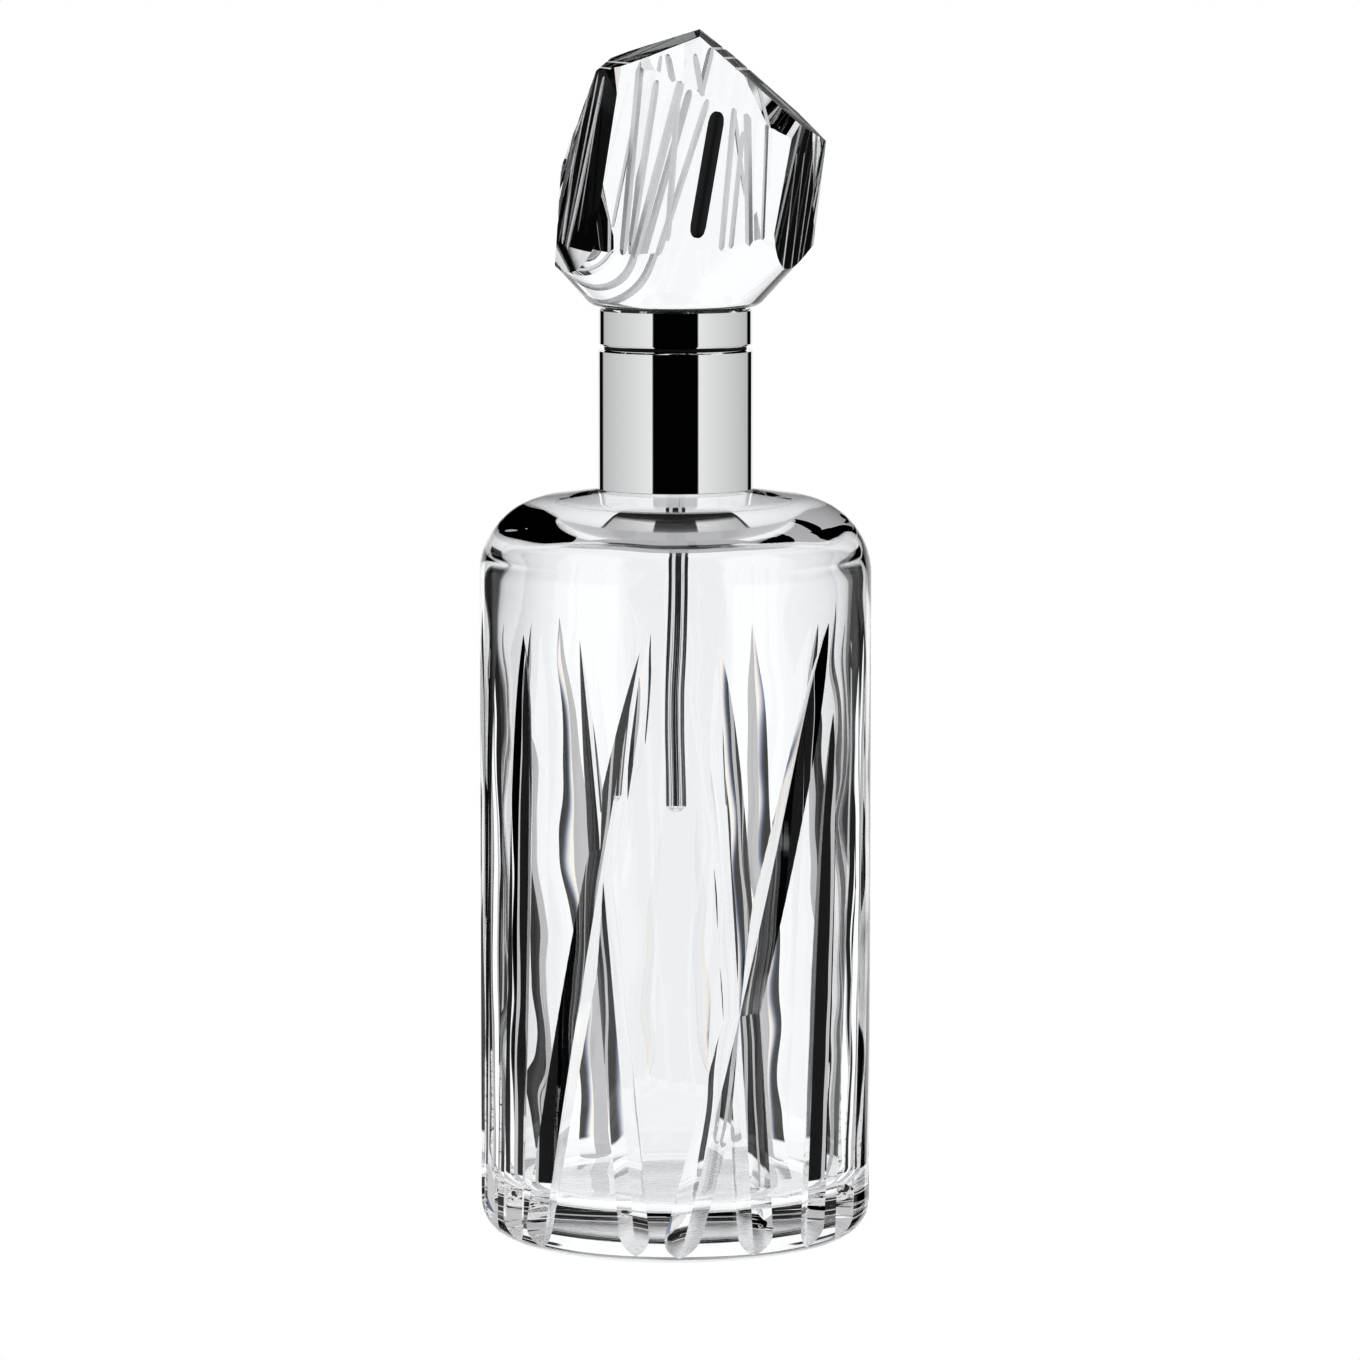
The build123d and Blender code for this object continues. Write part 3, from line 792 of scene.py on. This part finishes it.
def make_ring():
    low, high = ring_low[2] / MM, ring_high[2] / MM
    radius = ring_high[0] / MM
    runs = [
        line_run((radius - EDGE, low), (radius, low + EDGE)),
        line_run((radius, low + EDGE), (radius, high - EDGE), 2),
        line_run((radius, high - EDGE), (radius - EDGE, high)),
        line_run((radius - EDGE, high), (RING_BORE, high)),
        line_run((RING_BORE, high), (RING_BORE, low)),
        line_run((RING_BORE, low), (radius - EDGE, low)),
    ]
    piece = turned("stopper_ring_polished", runs, metal)
    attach(piece, "stopper")
    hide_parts("stopper_ring")


def make_rod():
    radius, end, top = rod_high[0] / MM, rod_low[2] / MM, rod_high[2] / MM
    tip = radius * ROD_TIP
    runs = [
        line_run((0, end), (radius - tip, end)),
        arc_run((radius - tip, end + tip), tip, -90, 0, 10),
        line_run((radius, end + tip), (radius, top), 6),
        line_run((radius, top), (0, top)),
    ]
    piece = turned("dip_rod_polished", runs, metal, ROD_SEGMENTS)
    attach(piece, "stopper")
    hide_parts("dip_rod")


def make_washer():
    low, high = washer_low[2] / MM, washer_high[2] / MM
    radius = washer_high[0] / MM
    inside = radius - WASHER_ROUND
    runs = [
        arc_run((inside, low + WASHER_ROUND), WASHER_ROUND, -90, 0, 4),
        line_run((radius, low + WASHER_ROUND), (radius, high - WASHER_ROUND)),
        arc_run((inside, high - WASHER_ROUND), WASHER_ROUND, 0, 90, 4),
        line_run((inside, high), (WASHER_BORE, high)),
        line_run((WASHER_BORE, high), (WASHER_BORE, low)),
        line_run((WASHER_BORE, low), (inside, low)),
    ]
    piece = turned("seal_washer_moulded", runs, rubber, SMALL_SEGMENTS)
    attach(piece, "stopper")
    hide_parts("seal_washer")


def make_bond():
    low, high = bond_low[2] / MM, bond_high[2] / MM
    inside = bond_high[0] / MM - BOND_ROUND
    runs = [
        line_run((0, low), (inside, low)),
        arc_run((inside, (low + high) / 2), BOND_ROUND, -90, 90, 8),
        line_run((inside, high), (0, high)),
    ]
    piece = turned("knob_bond_bead", runs, cement, SMALL_SEGMENTS)
    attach(piece, "stopper")
    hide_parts("knob_bond")


make_sleeve()
make_ring()
make_rod()
make_washer()
make_bond()

# ------------------------------------------------------------------ crystal knob
KNOB_CENTRE = 258.0
# Numbers of the knob's faces while it is cut; the first three are its material slots too.
POLISHED_FACE, SATIN_FACE, PAINTED_SHADE_FACE, BOWL_FACE = range(4)

# azimuth and elevation of each facet's outward normal, and its distance from the knob's centre
SIDE_FACETS = [(-2, 2, 24.0), (-64, 8.8, 25.2), (68, -9, 32.9), (-116, -2.5, 24.1),
               (114, -3, 31.5), (176, -3, 23.6), (-150, 10, 24.8), (150, 6, 27.4)]
UPPER_FACETS = [(21, 39.4, 31.35), (0, 35, 33.4), (-95, 22, 26.0), (184, 47, 33.35)]
ROOF_FACETS = [(-78.4, 71.3, 30.4), (85.4, 49.7, 29.73)]
# The rounded bowl under the facets: half widths across and front to back at its foot and how
# fast they grow with height, and how square its section is at the foot and higher up.
BOWL_FOOT = (20.0, 18.7)
BOWL_GROWTH = (0.9, 0.42)
BOWL_SQUARE, BOWL_SQUARE_GROWTH, BOWL_SQUARE_MOST = 2.0, 0.12, 4.5
# Rounding of the bowl's lower edge and its steps, rows a mm apart above it, and the blank's top.
BOWL_LIP, BOWL_LIP_STEPS = 1.4, 6
BOWL_ROWS = 35
BOWL_TOP = 75.0
BOWL_SEGMENTS = 120
# Step of the bowl's slopes, in mm upwards and in radians round.
BOWL_STEP = 0.01
# Half angle of a line's V, and how far its cutter stands proud of the facet.
GROOVE_HALF_ANGLE = 57.0
GROOVE_STAND = 0.4
# distance from either end of a line in mm, and the share of its full depth and width there
GROOVE_ENDS = ((0.0, 0.3), (0.4, 0.62), (1.2, 0.88), (2.8, 1.0))

# per side facet: start and end of each thin line measured on the facet (across, up), width
KNOB_LINES = {
    0: [((-7.4, 27.0), (-11.6, -19.2), 1.9), ((-3.6, 22.2), (-9.7, -16.8), 1.7),
        ((2.4, 22.7), (-9.2, -21.1), 2.1), ((1.4, 18.2), (-1.0, -15.8), 1.5),
        ((8.5, 17.7), (-3.6, -20.1), 1.6), ((14.9, 16.8), (11.4, -21.6), 1.4),
        ((17.8, 20.1), (18.5, -25.8), 1.8), ((16.8, 10.1), (13.5, -22.5), 1.2),
        ((22.7, 16.8), (21.3, -21.8), 0.9)],
    1: [((-8.5, 19.0), (-13.0, -19.0), 0.8), ((-4.2, 20.0), (-9.6, -20.0), 0.9),
        ((-1.0, 21.0), (-6.6, -20.0), 0.8), ((2.6, 21.0), (-2.6, -21.0), 0.9),
        ((5.4, 20.0), (3.4, -17.0), 0.7)],
    2: [((-7.6, 11.0), (-5.0, -21.0), 0.9), ((-2.6, 11.0), (0.6, -20.0), 0.7),
        ((3.4, 10.0), (4.4, -19.0), 0.8), ((8.0, 10.0), (6.6, -17.0), 0.7)],
    3: [((-5.0, 14.0), (-1.0, -18.0), 1.2), ((2.0, 14.0), (-2.0, -19.0), 0.9)],
    4: [((-4.0, 10.0), (2.0, -18.0), 1.2), ((5.0, 11.0), (1.0, -19.0), 1.0)],
    5: [((7.6, 20.0), (11.9, -19.0), 1.6), ((-2.4, 21.0), (9.4, -21.0), 1.8),
        ((-18.2, 17.0), (-19.0, -22.0), 1.5)],
    6: [((-3.0, 13.0), (1.0, -18.0), 1.1)],
    7: [((-2.0, 12.0), (-4.5, -18.0), 1.2), ((4.0, 12.0), (2.0, -18.0), 1.0)],
}
# The same on the first upper facet and, by facet, on the roof, and the one broad line, whose
# near-black colour is painted shade.
BEVEL_LINES = [((-8.4, 12.0), (-9.2, 2.0), 1.7), ((-1.4, 12.0), (-3.0, -3.5), 1.5)]
ROOF_LINES = {
    0: [((-20.0, -9.0), (20.0, -9.6), 0.8), ((-20.0, -5.2), (20.0, -5.6), 0.9)],
    1: [((-22.0, 12.0), (22.0, 11.6), 0.9), ((-22.0, 8.6), (22.0, 8.0), 0.8),
        ((-22.0, 4.6), (22.0, 4.0), 1.0)],
}
BROAD_LINE = ((10.9, 14.8), (5.8, -15.0), 3.7)


def facet_frame(azimuth, elevation, distance):
    """Matrix whose x runs across a facet, y up it and z out of the knob."""
    normal = radial(cos(radians(elevation)), azimuth)
    normal.z = sin(radians(elevation))
    across = radial(1, azimuth + 90)
    up = normal.cross(across)
    origin = Vector((0, 0, KNOB_CENTRE)) + normal * distance
    matrix = Matrix((across, up, normal)).transposed().to_4x4()
    matrix.translation = origin
    return matrix


def groove(facet, start, end, width, number=SATIN_FACE):
    """V-edged bar that scores one line into a facet, shallower towards both ends."""
    slant = tan(radians(GROOVE_HALF_ANGLE))
    a, b = Vector((*start, 0)), Vector((*end, 0))
    along = (b - a).normalized()
    across = along.cross(Vector((0, 0, 1))).normalized()
    stand = Vector((0, 0, GROOVE_STAND))
    places = [(a + along * run, share) for run, share in GROOVE_ENDS]
    places += [(b - along * run, share) for run, share in reversed(GROOVE_ENDS)]
    bm = bmesh.new()
    rows = []
    for place, share in places:
        depth = share * width / 2 / slant
        side = across * (depth + GROOVE_STAND) * slant
        rows.append([bm.verts.new((facet @ p) * MM) for p in (
            place - Vector((0, 0, depth)), place + side + stand, place - side + stand)])
    for low, high in zip(rows, rows[1:]):
        for i in range(3):
            j = (i + 1) % 3
            bm.faces.new((low[i], low[j], high[j], high[i]))
    bm.faces.new(rows[0][::-1])
    bm.faces.new(rows[-1])
    for face in bm.faces:
        face.material_index = number
    bmesh.ops.recalc_face_normals(bm, faces=bm.faces)
    mesh = bpy.data.meshes.new("groove")
    bm.to_mesh(mesh)
    bm.free()
    return mesh


def bowl_shape(rise):
    """Half widths and squareness of the bowl's section at a height over its foot."""
    lip = max(0.0, 1 - rise / BOWL_LIP)
    inset = BOWL_LIP * (1 - (1 - lip ** 2) ** 0.5)
    half_x, half_y = (foot + growth * rise - inset for foot, growth in zip(BOWL_FOOT, BOWL_GROWTH))
    return half_x, half_y, min(BOWL_SQUARE + BOWL_SQUARE_GROWTH * rise, BOWL_SQUARE_MOST)


def bowl_point(rise, turn):
    """Point of the bowl at a height over its foot and an angle in radians from +X."""
    half_x, half_y, square = bowl_shape(rise)
    c, s = cos(turn), sin(turn)
    size = (abs(c) ** square + abs(s) ** square) ** (-1 / square)
    return Vector((half_x * size * c, half_y * size * s, rise))


def bowl_blank(bottom):
    """Solid that widens upwards from the stopper ring, closed above the knob."""
    rises = [BOWL_LIP * (1 - cos(radians(90 * i / BOWL_LIP_STEPS)))
             for i in range(BOWL_LIP_STEPS + 1)]
    rises += [BOWL_LIP + i for i in range(1, BOWL_ROWS + 1)] + [BOWL_TOP]
    turns = [2 * pi * k / BOWL_SEGMENTS for k in range(BOWL_SEGMENTS)]
    foot = Vector((0, 0, bottom))
    bm = bmesh.new()
    rows = [[bm.verts.new((bowl_point(rise, turn) + foot) * MM) for turn in turns]
            for rise in rises]
    for low, high in zip(rows, rows[1:]):
        for k in range(BOWL_SEGMENTS):
            j = (k + 1) % BOWL_SEGMENTS
            face = bm.faces.new((low[k], low[j], high[j], high[k]))
            face.material_index = BOWL_FACE
    bm.faces.new(rows[0][::-1])
    bm.faces.new(rows[-1])
    return bm


def bowl_normal(point, bottom):
    """Smooth outward normal of the bowl at a point on it."""
    rise = max(point.z - bottom, 0.0)
    half_x, half_y, _ = bowl_shape(rise)
    turn = atan2(point.y / half_y, point.x / half_x)
    up = bowl_point(rise + BOWL_STEP, turn) - bowl_point(max(rise - BOWL_STEP, 0.0), turn)
    along = bowl_point(rise, turn + BOWL_STEP) - bowl_point(rise, turn - BOWL_STEP)
    return along.cross(up).normalized()


def make_knob():
    """The knob: the bowl's blank cut down to its facets, then scored with its lines."""
    bottom = knob_low[2] / MM
    bm = bowl_blank(bottom)
    for facet in SIDE_FACETS + UPPER_FACETS + ROOF_FACETS:
        plane = facet_frame(*facet)
        cut = bmesh.ops.bisect_plane(
            bm, geom=bm.verts[:] + bm.edges[:] + bm.faces[:], clear_outer=True,
            plane_co=plane.translation * MM, plane_no=plane.col[2].xyz)
        edges = [e for e in cut["geom_cut"] if isinstance(e, bmesh.types.BMEdge)]
        for face in bmesh.ops.contextual_create(bm, geom=edges)["faces"]:
            face.material_index = POLISHED_FACE
    bmesh.ops.recalc_face_normals(bm, faces=bm.faces)
    blank = bpy.data.meshes.new("crystal_knob_cut")
    bm.to_mesh(blank)
    bm.free()
    grooves = [groove(facet_frame(*SIDE_FACETS[facet]), *line)
               for facet, lines in KNOB_LINES.items() for line in lines]
    grooves += [groove(facet_frame(*UPPER_FACETS[0]), *line) for line in BEVEL_LINES]
    grooves += [groove(facet_frame(*ROOF_FACETS[facet]), *line)
                for facet, lines in ROOF_LINES.items() for line in lines]
    # The broad line gets the near-black material of painted shade.
    grooves.append(groove(facet_frame(*SIDE_FACETS[0]), *BROAD_LINE, PAINTED_SHADE_FACE))
    for mesh in [blank] + grooves:
        for material in (crystal, satin_cut, painted_shade_cut, crystal):
            mesh.materials.append(material)
    mesh = subtract(blank, grooves)
    normals = []
    for polygon in mesh.polygons:
        polygon.use_smooth = True
        on_bowl = polygon.material_index == BOWL_FACE
        for vertex in polygon.vertices:
            normals.append(bowl_normal(mesh.vertices[vertex].co / MM, bottom) if on_bowl
                           else polygon.normal)
        if on_bowl:
            polygon.material_index = POLISHED_FACE
    mesh.normals_split_custom_set(normals)
    mesh.materials.pop(index=BOWL_FACE)
    piece = link("crystal_knob_cut", mesh)
    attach(piece, "stopper")
    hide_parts("crystal_knob")


make_knob()
